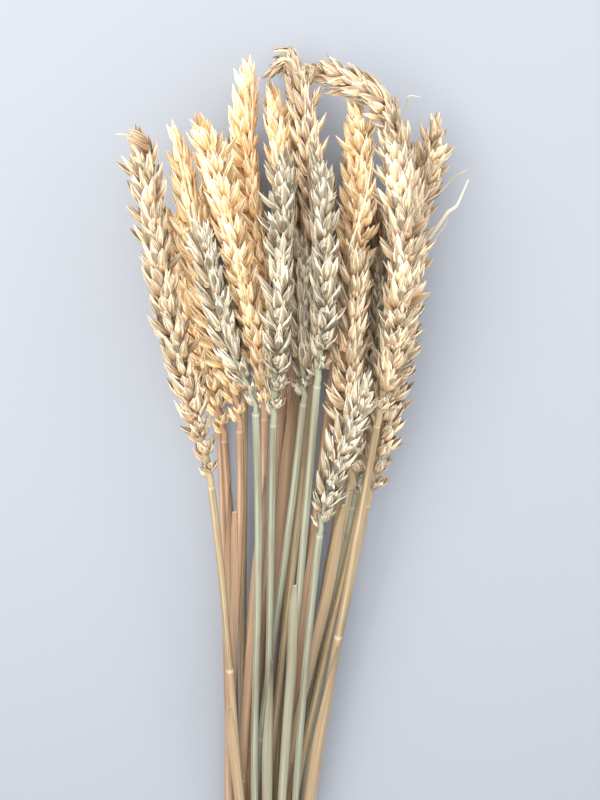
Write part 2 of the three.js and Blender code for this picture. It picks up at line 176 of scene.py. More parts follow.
def lay_stalks():
    """All stalks, spread from the tie towards their feet and towards their ears."""
    numbers = drawn_numbers(SEED)
    placed = [0] * len(TIE_ROWS)
    laid = []
    for number, (row, face, girth, tone, ear) in enumerate(STALKS, start=1):
        tie = tie_slot(row, placed[row])
        placed[row] += 1
        foot_y = FOOT_Y + (2 * next(numbers) - 1) * FOOT_STAGGER
        foot = (tie[0] * FOOT_SPREAD, foot_y, FOOT_LOWEST_Z + row * FOOT_ROW_STEP)
        loose = (tie[0] * LOOSE_SPREAD, LOOSE_Y, tie[2] + LOOSE_LIFT + row * LOOSE_ROW_LIFT)
        knots = np.array([foot, tie, loose, *(np.array(ear) * MM)])
        laid.append(Stalk(number, face, girth, tone, knots))
    return laid


stalks = lay_stalks()


def add_node(tree, kind, inputs=None, **settings):
    """Adds a node with its settings. Each input, by name or number, gets a value or a link."""
    node = tree.nodes.new(kind)
    for name, value in settings.items():
        setattr(node, name, value)
    for key, value in (inputs or {}).items():
        if isinstance(key, int):
            socket = node.inputs[key]
        else:
            socket = next(s for s in node.inputs if s.name == key and s.enabled)
        if isinstance(value, bpy.types.NodeSocket):
            tree.links.new(value, socket)
        else:
            socket.default_value = value
    return node


def linear(hex_colour):
    """An sRGB hex colour as the linear value that a socket takes."""
    channels = [int(hex_colour[i : i + 2], 16) / 255 for i in (1, 3, 5)]
    return [c / 12.92 if c <= 0.04045 else ((c + 0.055) / 1.055) ** 2.4 for c in channels] + [1]


def new_tree(name, inputs):
    """A geometry tree with named inputs. Each input has a name, a kind of socket and a first value."""
    tree = bpy.data.node_groups.new(name, "GeometryNodeTree")
    tree.interface.new_socket("Geometry", in_out="INPUT", socket_type="NodeSocketGeometry")
    for label, kind, value in inputs:
        socket = tree.interface.new_socket(label, in_out="INPUT", socket_type="NodeSocket" + kind)
        if value is not None:
            socket.default_value = value
    tree.interface.new_socket("Geometry", in_out="OUTPUT", socket_type="NodeSocketGeometry")
    return tree


def grown(name, mesh, tree, values):
    """The mesh that a geometry tree makes from a mesh, as a plain mesh."""
    carrier = bpy.data.objects.new(name + " carrier", mesh)
    bpy.context.scene.collection.objects.link(carrier)
    modifier = carrier.modifiers.new("tree", "NODES")
    modifier.node_group = tree
    sockets = {item.name: item.identifier for item in tree.interface.items_tree if item.in_out == "INPUT"}
    for label, value in values.items():
        modifier[sockets[label]] = value
    graph = bpy.context.evaluated_depsgraph_get()
    made = bpy.data.meshes.new_from_object(carrier.evaluated_get(graph), depsgraph=graph)
    bpy.data.objects.remove(carrier)
    made.name = name
    return made


CREASE = math.radians(50)


def show(name, mesh, role="dressed"):
    """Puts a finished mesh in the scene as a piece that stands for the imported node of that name."""
    piece = bpy.data.objects.new(f"{name}_{role}", mesh)
    bpy.context.scene.collection.objects.link(piece)
    mesh.shade_smooth()
    mesh.set_sharp_from_angle(angle=CREASE)
    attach(piece, "root")
    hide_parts(name)
    return piece


STRAW_STEP = 2.5 * MM
STRAW_SIDES = 14
STRAW_HOLLOW = 0.68  # width of the hollow, as a share of the straw's
HOLLOW_DEPTH = 9 * MM
NECK_LAP = 0.5 * MM  # how far the straw's top reaches round the foot of the rachis
KNOT_LENGTH = 3.4 * MM
KNOT_SWELL = 0.16
KNOT_LOWEST = 0.06  # place of the lowest knot on any straw, as a share of its length
KNOT_RANGE = 0.4  # and how much higher the others may sit
KNOT_DEPTH = 0.8  # strength of its brown
SHEATH_LENGTH = 190 * MM  # of the leaf foot that is left on a straw above its knot, before some is lost
SHEATH_LOST = 0.3  # share of that length which is lost from every one
SHEATH_SWELL = 0.12
RIM_LENGTH = 0.9 * MM  # of the pale dry rim where a leaf foot or the straw itself ends
RIM_FULL = 0.6  # share of it that has its full paleness
SKIN_SPAN = 100 * MM  # length of straw for one step of its flat skin, which is half its girth wide
HALF_GIRTH = math.pi * STRAW_RADIUS
RIB_WIDTH = 0.584 * MM  # the finest real ribs are too fine to show, so only coarser ones are drawn
RIB_LENGTH = 66.7 * MM
BLOTCH_WIDTH = 2.37 * MM
BLOTCH_LENGTH = 28.4 * MM

# Skin, weathered patches, knots, leaf feet and rims. The skin and patch colours are darker than real straw,
# as painted shade for the dimmer light low in the bundle.
STRAW_TONES = {
    "cream": ("#AE9C7A", "#9C7F62", "#82592F", "#A68C6E", "#D3C4A2"),
    "gold": ("#B39274", "#9C7B62", "#82532F", "#A88C70", "#D0BC9C"),
    "grey": ("#979A85", "#8A7E66", "#7E5D38", "#988F78", "#C6C0A6"),
}


def straw_material(tone, colours):
    """Wheat straw, dried on the stalk: the waxy skin stays and shrinks into ribs. It gives a satin gloss
    along the straw, fine lines, dull blotches where it has weathered, and pale rims where it is torn."""
    skin, patch, knot, sheath, rim = colours
    material = bpy.data.materials.new("wheat straw, dried waxy skin, " + tone)
    material.use_nodes = True
    tree = material.node_tree
    tree.nodes.clear()
    add = functools.partial(add_node, tree)
    flat = add("ShaderNodeUVMap", uv_map="skin").outputs[0]
    rib_place = add(
        "ShaderNodeMapping",
        {"Vector": flat, "Scale": (HALF_GIRTH / RIB_WIDTH, SKIN_SPAN / RIB_LENGTH, 1)},
    ).outputs[0]
    fibre = add("ShaderNodeTexNoise", {"Vector": rib_place, "Scale": 1, "Detail": 3}).outputs[0]
    blotch_place = add(
        "ShaderNodeMapping",
        {"Vector": flat, "Scale": (HALF_GIRTH / BLOTCH_WIDTH, SKIN_SPAN / BLOTCH_LENGTH, 1)},
    ).outputs[0]
    blotch = add("ShaderNodeTexNoise", {"Vector": blotch_place, "Scale": 1, "Detail": 4}).outputs[0]
    drawn, sheathed, knotted = (
        add("ShaderNodeAttribute", attribute_name=name).outputs["Fac"]
        for name in ("stalk_tone", "sheath", "knot")
    )

    rings = []
    for name in ("below_rim", "below_ear"):
        below = add("ShaderNodeAttribute", attribute_name=name).outputs["Fac"]
        away = add("ShaderNodeMath", {0: below, 1: 0.0}, operation="ABSOLUTE").outputs[0]
        ring = add(
            "ShaderNodeMapRange",
            {"Value": away, "From Min": RIM_LENGTH, "From Max": RIM_FULL * RIM_LENGTH, "To Max": 0.5},
        )
        rings.append(ring.outputs[0])
    rims = add("ShaderNodeMath", {0: rings[0], 1: rings[1]}, operation="MAXIMUM").outputs[0]

    weathered = add("ShaderNodeMapRange", {"Value": blotch, "From Min": 0.42, "From Max": 0.72}).outputs[0]
    patched = add(
        "ShaderNodeMix", {"Factor": weathered, "A": linear(skin), "B": linear(patch)}, data_type="RGBA"
    ).outputs["Result"]
    shade = add(
        "ShaderNodeMapRange",
        {"Value": fibre, "From Min": 0.38, "From Max": 0.62, "To Min": 0.68, "To Max": 1.16},
    ).outputs[0]
    drift = add("ShaderNodeMapRange", {"Value": drawn, "To Min": 0.82, "To Max": 1.12}).outputs[0]
    light = add("ShaderNodeMath", {0: shade, 1: drift}, operation="MULTIPLY").outputs[0]
    colour = add("ShaderNodeHueSaturation", {"Value": light, "Color": patched}).outputs[0]
    wrapped = add("ShaderNodeMath", {0: sheathed, 1: 0.5}, operation="MULTIPLY").outputs[0]
    for share, tint in ((wrapped, sheath), (knotted, knot), (rims, rim)):
        colour = add(
            "ShaderNodeMix", {"Factor": share, "A": colour, "B": linear(tint)}, data_type="RGBA"
        ).outputs["Result"]

    bump = add("ShaderNodeBump", {"Strength": 0.35, "Distance": 0.15 * MM, "Height": fibre}).outputs[0]
    shader = add(
        "ShaderNodeBsdfPrincipled", {"Base Color": colour, "Roughness": 0.52, "IOR": 1.45, "Normal": bump}
    )
    add("ShaderNodeOutputMaterial", {"Surface": shader.outputs[0]})
    return material


def straw_tree():
    """A tube along the drawn line, as thick as the line says, with a hollow sunk into its cut end."""
    tree = new_tree(
        "straw",
        [
            ("Sides", "Int", STRAW_SIDES),
            ("Hollow width", "Float", STRAW_HOLLOW),
            ("Hollow depth", "Float", HOLLOW_DEPTH),
            ("Skin", "Material", None),
        ],
    )
    add = functools.partial(add_node, tree)
    given = add("NodeGroupInput").outputs
    line = add("GeometryNodeMeshToCurve", {"Mesh": given["Geometry"]}).outputs[0]
    thick, along = (
        add("GeometryNodeInputNamedAttribute", {"Name": name}, data_type="FLOAT").outputs[0]
        for name in ("thickness", "along")
    )
    ring = add("GeometryNodeCurvePrimitiveCircle", {"Resolution": given["Sides"], "Radius": 1.0}).outputs[0]
    around = add("GeometryNodeSplineParameter").outputs["Factor"]
    marked = add(
        "GeometryNodeStoreNamedAttribute",
        {"Geometry": ring, "Name": "around", "Value": around},
        data_type="FLOAT",
        domain="POINT",
    ).outputs[0]
    tube = add(
        "GeometryNodeCurveToMesh",
        {"Curve": line, "Profile Curve": marked, "Scale": thick, "Fill Caps": True},
    ).outputs[0]
    corners = add("GeometryNodeInputMeshFaceNeighbors").outputs["Vertex Count"]
    is_cap = add(
        "FunctionNodeCompare", {"A": corners, "B": 4}, data_type="INT", operation="GREATER_THAN"
    ).outputs[0]
    is_low = add(
        "FunctionNodeCompare", {"A": along, "B": STRAW_STEP}, data_type="FLOAT", operation="LESS_THAN"
    ).outputs[0]
    foot = add("FunctionNodeBooleanMath", {0: is_cap, 1: is_low}, operation="AND").outputs[0]
    rim = add(
        "GeometryNodeExtrudeMesh",
        {"Mesh": tube, "Selection": foot, "Offset Scale": 0.0, "Individual": False},
        mode="FACES",
    ).outputs
    wall = add(
        "GeometryNodeScaleElements",
        {"Geometry": rim["Mesh"], "Selection": rim["Top"], "Scale": given["Hollow width"]},
    ).outputs[0]
    inwards = add("ShaderNodeMath", {0: given["Hollow depth"], 1: -1.0}, operation="MULTIPLY").outputs[0]
    sunk = add(
        "GeometryNodeExtrudeMesh",
        {"Mesh": wall, "Selection": rim["Top"], "Offset Scale": inwards, "Individual": False},
        mode="FACES",
    ).outputs["Mesh"]
    skinned = add("GeometryNodeSetMaterial", {"Geometry": sunk, "Material": given["Skin"]}).outputs[0]
    add("NodeGroupOutput", {"Geometry": skinned})
    return tree


def store(mesh, name, values, domain="POINT"):
    """Keeps a number for each point of a mesh, for its tree or its material."""
    attribute = mesh.attributes.new(name, "FLOAT", domain)
    attribute.data.foreach_set("value", np.asarray(values, dtype=np.float32))


def straw_line(stalk, numbers):
    """The middle line of a straw with its thickness, its knot and how far along each point lies."""
    top = stalk.ear_at + NECK_LAP
    along = np.linspace(0, top, round(top / STRAW_STEP) + 1)
    middle, _, _, _ = stalk.frames(along)
    taper = 1 - (1 - NECK_TAPER) * np.clip((along - stalk.tie_at) / (top - stalk.tie_at), 0, 1)
    knot_at = (KNOT_LOWEST + KNOT_RANGE * next(numbers)) * top
    knot = np.exp(-(((along - knot_at) / (KNOT_LENGTH / 2)) ** 2))
    sheath_end = knot_at + SHEATH_LENGTH * (next(numbers) - SHEATH_LOST)
    sheath = ((along > knot_at) & (along < sheath_end)).astype(float)
    mesh = bpy.data.meshes.new("straw line")
    mesh.from_pydata(middle.tolist(), [(i, i + 1) for i in range(len(along) - 1)], [])
    store(mesh, "thickness", STRAW_RADIUS * taper * (1 + KNOT_SWELL * knot + SHEATH_SWELL * sheath))
    store(mesh, "knot", KNOT_DEPTH * knot)
    store(mesh, "sheath", sheath)
    store(mesh, "below_rim", max(sheath_end, knot_at) - along)
    store(mesh, "below_ear", top - along)
    store(mesh, "along", along)
    store(mesh, "stalk_tone", np.full_like(along, next(numbers)))
    return mesh


def map_skin(mesh):
    """Lays the skin out flat: up one half of the girth and down the other, and along in steps of a span."""
    around = np.zeros(len(mesh.vertices), dtype=np.float32)
    along = np.zeros_like(around)
    mesh.attributes["around"].data.foreach_get("value", around)
    mesh.attributes["along"].data.foreach_get("value", along)
    corner = np.zeros(len(mesh.loops), dtype=np.int32)
    mesh.loops.foreach_get("vertex_index", corner)
    layer = mesh.uv_layers.new(name="skin")
    ring = np.abs(2 * around[corner] - 1)
    layer.data.foreach_set("uv", np.stack([ring, along[corner] / SKIN_SPAN], axis=1).ravel())


straw_skins = {tone: straw_material(tone, colours) for tone, colours in STRAW_TONES.items()}
tube_tree = straw_tree()
straw_numbers = drawn_numbers(SEED + 2)
for stalk in stalks:
    label = f"straw_{stalk.number:02d}"
    line = straw_line(stalk, straw_numbers)
    straw = grown(label, line, tube_tree, {"Skin": straw_skins[stalk.tone]})
    map_skin(straw)
    show(label, straw)


# Ears. Each is a thin zigzag rachis with a spikelet on every bend, by turns on its two sides. A spikelet
# is a fan of papery boat-shaped husks: two short broad glumes outside, and longer lemmas that end in a
# short point. They are thin chaff, dried pale, and part towards their tips.
INTERNODE = 3.2 * MM  # along the ear, from one spikelet to the next on the other side
NECK_INTERNODES = 1  # length of bare rachis over the straw
RACHIS_RADIUS = 0.98 * MM
RACHIS_TAPER = 0.5
RACHIS_SIDES = 10
RACHIS_BEND = 0.4 * MM
ROOT_OFFSET = 0.6 * MM
SPIKELET_LENGTH = 9.2 * MM
SPIKELET_LEAN = math.radians(18)
TOP_SPIKELET = 0.8  # size of the one at the tip, as a share of a full one
TOP_GROWTH = 1.5  # how fast they grow from the tip down, over the whole ear
TOP_SETBACK = 0.2  # how far the one at the tip sits back, in internodes
FOOT_SPIKELET = 0.5  # size of the lowest one
FOOT_GROWTH = 2.2  # how fast they grow from the foot up
EAR_TWIST = math.radians(0.5) / MM
EAR_REACH = 7.2 * MM  # from the rachis, where nothing presses on the ear
EAR_FILLING = 16 * MM  # length over which it grows to that reach
HUSK_REACH = 9 * MM  # of the longest husk tips
TOUCHING_GAP = 0.5 * MM
STRAW_GAP = 0.4 * MM
FREE_SHARE = 0.35  # share of the way to a neighbour in which nothing is pressed
PRESSING_PASSES = 4
STATION_STEP = 4 * MM
VARIANTS = 12  # spikelets to pick from
# Added to an ear's own seed, so that each of its random draws differs.
LEAN_SEED = 0.0
SIZE_SEED = 50.0
TURN_SEED = 100.0
TONE_SEED = 150.0

HUSK_WAYS = np.array([0, 0.15, 0.42, 0.66, 0.82, 1])
HUSK_WIDTHS = np.array([0.45, 0.9, 1, 0.92, 0.6, 0.08])
HUSK_BULGES = np.array([0.4, 0.85, 1, 0.8, 0.45, 0.08])
OUTER_SIDES = np.array([-1, -0.5, 0, 0.5, 1])
INNER_SIDES = np.array([0.5, -0.5])
HUSK_KEEL = 0.4
INSIDE = 1.6  # what the number for a place across the husk says on its inner face
INNER_WIDTH = 0.9  # of the hollow, as a share of the husk's
SHALLOWEST = 0.35  # depth of the hollow at least, as a share of the husk's
HUSK_THICKNESS = 0.22 * MM
HUSK_ROOT = 0.5 * MM  # from the middle of the fan

# The husks of a spikelet, from the outside in: kind, length, half width and bulge in millimetres, the
# direction of its back from the ear's outside towards one side of the fan, and its splay, both in degrees,
# and how high its root stands and how far its tip flares, in millimetres.
HUSKS = [
    ("glume", 6.9, 1.75, 1.4, 50, 20, 0.0, -0.3),
    ("glume", 6.9, 1.75, 1.4, -50, 20, 0.3, -0.3),
    ("lemma", 8.2, 1.35, 1.2, 78, 28, 0.8, -0.5),
    ("lemma", 8.2, 1.35, 1.2, -78, 28, 1.1, -0.5),
    ("palea", 7.6, 0.75, 0.5, 92, 25, 1.2, -0.2),
    ("palea", 7.6, 0.75, 0.5, -92, 25, 1.5, -0.2),
    ("lemma", 8.3, 1.3, 1.1, 52, 23, 1.5, -0.4),
    ("lemma", 8.3, 1.3, 1.1, -52, 23, 1.8, -0.4),
    ("palea", 7.9, 0.75, 0.5, 64, 19, 1.9, 0.0),
    ("palea", 7.9, 0.75, 0.5, -64, 19, 2.1, 0.0),
    ("lemma", 8.2, 1.25, 1.0, 16, 18, 2.2, -0.2),
    ("lemma", 8.0, 1.25, 1.0, -16, 15, 2.5, -0.2),
    ("palea", 7.5, 0.75, 0.5, 5, 9, 2.8, 0.0),
]
LOOSE_HUSKS = 0.12  # share of the husks that stand away from their fan
LOOSE_SPLAY = 15  # degrees more
# How far a husk may differ from its row: shares of its length and width, millimetres, and degrees.
LENGTH_SPREAD = 0.17
WIDTH_SPREAD = 0.2
FLARE_SPREAD = 0.7
SPLAY_SPREAD = 9
TURN_SPREAD = 24


def husk_form(length, half_width, bulge, flare):
    """A closed thin boat: its keeled back to -X, its point to +Y, root at the origin."""
    points, ways, sides = [], [], []
    for way, width, depth in zip(HUSK_WAYS, HUSK_WIDTHS, HUSK_BULGES):
        spine = -flare * way**3
        outer = np.stack(
            [
                spine - bulge * depth * (np.cos(OUTER_SIDES * math.pi / 2) + HUSK_KEEL * (OUTER_SIDES == 0)),
                np.full(len(OUTER_SIDES), way * length),
                half_width * width * np.sin(OUTER_SIDES * math.pi / 2),
            ],
            axis=1,
        )
        hollow = max(bulge * depth - HUSK_THICKNESS, SHALLOWEST * bulge * depth)
        inner = np.stack(
            [
                spine - hollow * np.cos(INNER_SIDES * math.pi / 2),
                np.full(len(INNER_SIDES), way * length),
                INNER_WIDTH * half_width * width * np.sin(INNER_SIDES * math.pi / 2),
            ],
            axis=1,
        )
        points += [outer, inner]
        sides += [OUTER_SIDES, np.full(len(INNER_SIDES), INSIDE)]
        ways.append(np.full(len(OUTER_SIDES) + len(INNER_SIDES), way))
    ring = len(OUTER_SIDES) + len(INNER_SIDES)
    faces = [list(reversed(range(ring)))]
    for step in range(len(HUSK_WAYS) - 1):
        for i in range(ring):
            j = (i + 1) % ring
            faces.append([step * ring + i, step * ring + j, (step + 1) * ring + j, (step + 1) * ring + i])
    last = (len(HUSK_WAYS) - 1) * ring
    faces.append([last + i for i in range(ring)])
    return np.concatenate(points), faces, np.concatenate(ways), np.concatenate(sides)


def spikelet_mesh(name, random):
    """One spikelet: its root at the origin, its outside towards -X and its fan in the plane of Y and Z."""
    points, faces, ways, sides, tones, glumes = [], [], [], [], [], []
    for kind, length, half_width, bulge, turn, splay, root, flare in HUSKS:
        vary = random.uniform(-1, 1, 6)
        form, form_faces, form_ways, form_sides = husk_form(
            length * MM * (1 + LENGTH_SPREAD * vary[0]),
            half_width * MM * (1 + WIDTH_SPREAD * vary[1]),
            bulge * MM,
            (flare + FLARE_SPREAD * vary[2]) * MM,
        )
        loose = LOOSE_SPLAY * (vary[5] > 1 - 2 * LOOSE_HUSKS)
        lean = Matrix.Rotation(math.radians(splay + SPLAY_SPREAD * vary[3] + loose), 3, "Z")
        spin = Matrix.Rotation(math.radians(turn + TURN_SPREAD * vary[4]), 3, "Y")
        settle = np.array(spin @ lean)
        offset = np.array(spin @ Vector((-HUSK_ROOT, 0, 0))) + np.array((0, root * MM, 0))
        start = sum(len(p) for p in points)
        points.append(form @ settle.T + offset)
        faces += [[start + i for i in face] for face in form_faces]
        ways.append(form_ways)
        sides.append(form_sides)
        tones.append(np.full(len(form), random.random()))
        glumes.append(np.full(len(form), float(kind == "glume")))
    mesh = bpy.data.meshes.new(name)
    mesh.from_pydata(np.concatenate(points).tolist(), [], faces)
    store(mesh, "husk_way", np.concatenate(ways))
    store(mesh, "husk_side", np.concatenate(sides))
    store(mesh, "husk_tone", np.concatenate(tones))
    store(mesh, "glume", np.concatenate(glumes))
    return mesh


def spikelet_stock():
    """A few spikelets that differ, to pick from."""
    stock = bpy.data.collections.new("spikelets")
    random = np.random.default_rng(SEED)
    for i in range(VARIANTS):
        mesh = spikelet_mesh(f"spikelet {i}", random)
        stock.objects.link(bpy.data.objects.new(f"spikelet {i}", mesh))
    return stock


def ear_tree():
    """A straight ear along +Y: the rachis, spikelets by turns on its two sides, and one at its tip."""
    tree = new_tree(
        "ear of wheat",
        [
            ("Spikelets", "Int", 20),
            ("Spacing", "Float", INTERNODE),
            ("Lean", "Float", SPIKELET_LEAN),
            ("Uneven lean", "Float", 0.5),
            ("Uneven size", "Float", 0.12),
            ("Uneven turn", "Float", 0.5),
            ("Foot size", "Float", FOOT_SPIKELET),
            ("Foot growth", "Float", FOOT_GROWTH),
            ("Top size", "Float", TOP_SPIKELET),
            ("Top growth", "Float", TOP_GROWTH),
            ("Rachis radius", "Float", RACHIS_RADIUS),
            ("Rachis taper", "Float", RACHIS_TAPER),
            ("Seed", "Int", 1),
            ("Stock", "Collection", None),
            ("Chaff", "Material", None),
        ],
    )
    add = functools.partial(add_node, tree)
    given = add("NodeGroupInput").outputs
    index = add("GeometryNodeInputIndex").outputs[0]
    odd = add("ShaderNodeMath", {0: index, 1: 2.0}, operation="MODULO").outputs[0]
    flip = add("ShaderNodeMath", {0: odd, 1: -2.0, 2: 1.0}, operation="MULTIPLY_ADD").outputs[0]
    drawn = []
    for seed, low, high in (
        (LEAN_SEED, -0.5, 0.5),
        (SIZE_SEED, -0.5, 0.5),
        (TURN_SEED, -0.5, 0.5),
        (TONE_SEED, 0.0, 1.0),
    ):
        shifted = add("ShaderNodeMath", {0: given["Seed"], 1: seed}, operation="ADD").outputs[0]
        number = add(
            "FunctionNodeRandomValue",
            {"Min": low, "Max": high, "ID": index, "Seed": shifted},
            data_type="FLOAT",
        )
        drawn.append(number.outputs[1])
    lean_drawn, size_drawn, turn_drawn, tone_drawn = drawn

    # The bends of the rachis, each with the root of a spikelet to one side.
    neck = add(
        "ShaderNodeMath", {0: given["Spacing"], 1: float(NECK_INTERNODES)}, operation="MULTIPLY"
    ).outputs[0]
    start = add("ShaderNodeCombineXYZ", {"Y": neck}).outputs[0]
    step = add("ShaderNodeCombineXYZ", {"Y": given["Spacing"]}).outputs[0]
    bends = add(
        "GeometryNodeMeshLine",
        {"Count": given["Spikelets"], "Start Location": start, "Offset": step},
        mode="OFFSET",
    ).outputs[0]
    beside = add("ShaderNodeMath", {0: flip, 1: -ROOT_OFFSET}, operation="MULTIPLY").outputs[0]
    aside = add("ShaderNodeCombineXYZ", {"X": beside}).outputs[0]
    roots = add("GeometryNodeSetPosition", {"Geometry": bends, "Offset": aside}).outputs[0]

    # Spikelets grow from the foot up and from the tip down, to a full one at most.
    share = add("ShaderNodeMath", {0: index, 1: given["Spikelets"]}, operation="DIVIDE").outputs[0]
    rest = add("ShaderNodeMath", {0: 1.0, 1: share}, operation="SUBTRACT").outputs[0]
    size = 1.0
    for way, end in ((share, "Foot"), (rest, "Top")):
        grown_to = add(
            "ShaderNodeMath",
            {0: way, 1: given[end + " growth"], 2: given[end + " size"]},
            operation="MULTIPLY_ADD",
        ).outputs[0]
        size = add("ShaderNodeMath", {0: grown_to, 1: size}, operation="MINIMUM").outputs[0]
    uneven = []
    for number, spread in ((size_drawn, given["Uneven size"]), (lean_drawn, given["Uneven lean"])):
        about = add("ShaderNodeMath", {0: number, 1: spread, 2: 1.0}, operation="MULTIPLY_ADD")
        uneven.append(about.outputs[0])
    size = add("ShaderNodeMath", {0: size, 1: uneven[0]}, operation="MULTIPLY").outputs[0]
    lean = add("ShaderNodeMath", {0: given["Lean"], 1: uneven[1]}, operation="MULTIPLY").outputs[0]
    outwards = add("ShaderNodeMath", {0: lean, 1: flip}, operation="MULTIPLY").outputs[0]
    roll = add("ShaderNodeMath", {0: turn_drawn, 1: given["Uneven turn"]}, operation="MULTIPLY").outputs[0]
    facing = add("ShaderNodeMath", {0: odd, 1: math.pi, 2: roll}, operation="MULTIPLY_ADD").outputs[0]
    rotation = add("ShaderNodeCombineXYZ", {"Y": facing, "Z": outwards}).outputs[0]

    stock = add(
        "GeometryNodeCollectionInfo",
        {"Collection": given["Stock"], "Separate Children": True, "Reset Children": True},
        transform_space="ORIGINAL",
    ).outputs[0]
    pick = add(
        "FunctionNodeRandomValue",
        {"Min": 0, "Max": VARIANTS - 1, "ID": index, "Seed": given["Seed"]},
        data_type="INT",
    )
    picked = next(s for s in pick.outputs if s.enabled)
    placed = add(
        "GeometryNodeInstanceOnPoints",
        {
            "Points": roots,
            "Instance": stock,
            "Pick Instance": True,
            "Instance Index": picked,
            "Rotation": rotation,
            "Scale": size,
        },
    ).outputs[0]

    # One more spikelet stands on the tip, turned across the others.
    last = add("ShaderNodeMath", {0: given["Spikelets"], 1: TOP_SETBACK}, operation="SUBTRACT").outputs[0]
    tip_at = add(
        "ShaderNodeMath", {0: given["Spacing"], 1: last, 2: neck}, operation="MULTIPLY_ADD"
    ).outputs[0]
    tip_place = add("ShaderNodeCombineXYZ", {"Y": tip_at}).outputs[0]
    tip_point = add(
        "GeometryNodeMeshLine", {"Count": 1, "Start Location": tip_place}, mode="OFFSET"
    ).outputs[0]
    tip = add(
        "GeometryNodeInstanceOnPoints",
        {
            "Points": tip_point,
            "Instance": stock,
            "Pick Instance": True,
            "Instance Index": 1,
            "Rotation": (0, math.pi / 2, 0),
            "Scale": given["Top size"],
        },
    ).outputs[0]
    spikelets = add("GeometryNodeJoinGeometry").inputs[0]
    tree.links.new(placed, spikelets)
    tree.links.new(tip, spikelets)
    toned = add(
        "GeometryNodeStoreNamedAttribute",
        {"Geometry": spikelets.node.outputs[0], "Name": "spikelet_tone", "Value": tone_drawn},
        data_type="FLOAT",
        domain="INSTANCE",
    ).outputs[0]
    fans = add("GeometryNodeRealizeInstances", {"Geometry": toned}).outputs[0]

    # The rachis itself: straight in its neck, and then bent to and fro.
    stem_count = add(
        "ShaderNodeMath", {0: given["Spikelets"], 1: float(NECK_INTERNODES)}, operation="ADD"
    ).outputs[0]
    stem_points = add("GeometryNodeMeshLine", {"Count": stem_count, "Offset": step}, mode="OFFSET").outputs[0]
    over_neck = add(
        "ShaderNodeMath", {0: index, 1: NECK_INTERNODES - 0.5}, operation="GREATER_THAN"
    ).outputs[0]
    swing = add("ShaderNodeMath", {0: flip, 1: -RACHIS_BEND}, operation="MULTIPLY").outputs[0]
    bent = add("ShaderNodeMath", {0: swing, 1: over_neck}, operation="MULTIPLY").outputs[0]
    bent_aside = add("ShaderNodeCombineXYZ", {"X": bent}).outputs[0]
    stem_bent = add("GeometryNodeSetPosition", {"Geometry": stem_points, "Offset": bent_aside}).outputs[0]
    stem_line = add("GeometryNodeMeshToCurve", {"Mesh": stem_bent}).outputs[0]
    stem_ring = add(
        "GeometryNodeCurvePrimitiveCircle", {"Resolution": RACHIS_SIDES, "Radius": 1.0}
    ).outputs[0]
    up_stem = add("GeometryNodeSplineParameter").outputs["Factor"]
    top_radius = add(
        "ShaderNodeMath", {0: given["Rachis radius"], 1: given["Rachis taper"]}, operation="MULTIPLY"
    ).outputs[0]
    stem_radius = add(
        "ShaderNodeMapRange", {"Value": up_stem, "To Min": given["Rachis radius"], "To Max": top_radius}
    ).outputs[0]
    stem_bare = add(
        "GeometryNodeCurveToMesh",
        {"Curve": stem_line, "Profile Curve": stem_ring, "Scale": stem_radius, "Fill Caps": True},
    ).outputs[0]
    stem = add(
        "GeometryNodeStoreNamedAttribute",
        {"Geometry": stem_bare, "Name": "stem", "Value": 1.0},
        data_type="FLOAT",
        domain="POINT",
    ).outputs[0]
    whole = add("GeometryNodeJoinGeometry").inputs[0]
    tree.links.new(fans, whole)
    tree.links.new(stem, whole)
    finished = add(
        "GeometryNodeSetMaterial", {"Geometry": whole.node.outputs[0], "Material": given["Chaff"]}
    ).outputs[0]
    add("NodeGroupOutput", {"Geometry": finished})
    return tree


# Colours for each ear tone. Inside, and in part base, are darkened as painted shade; edge is in part painted
# highlight; window is in part painted shade.
EAR_TONES = {
    "cream": {
        "base": "#C69A70",
        "middle": "#D9BE96",
        "tip": "#ECDCBE",
        "edge": "#F8F0E0",
        "inside": "#B8966F",
        "window": "#747A6E",
    },
    "gold": {
        "base": "#DEB074",
        "middle": "#F0D19C",
        "tip": "#F8E6C2",
        "edge": "#FFF5E2",
        "inside": "#D8AA70",
        "window": "#C9A67A",
    },
    "grey": {
        "base": "#B2946E",
        "middle": "#BEB193",
        "tip": "#D9D2BC",
        "edge": "#F1ECE0",
        "inside": "#A38D70",
        "window": "#545C53",
    },
}
# The window is partly a grey-green tint and partly painted shade of the glume's hollow.
WINDOW_AND_SHADE_SHARE = {"cream": 0.14, "gold": 0.04, "grey": 0.34}  # of the husks that keep a darker window
# The gold tone's large gain is painted light, standing in for the direct light on those ears; the other tones
# only set their brightness.
EAR_GAIN_AND_PAINTED_LIGHT = {"cream": 1.04, "gold": 1.42, "grey": 1.12}  # brightness of each tone
CLOUD_SPAN = 16.7 * MM  # of the soft light and dark clouds over an ear
HUSK_LENGTH = 8.2 * MM
HUSK_ARC = 2 * MM  # from a husk's keel round to its edge
NERVE_WIDTH = 0.463 * MM  # of a fine rib and the groove beside it
NERVE_LENGTH = 9.1 * MM
NERVE_SHIFT = 36.0  # moves the pattern on from one husk to the next


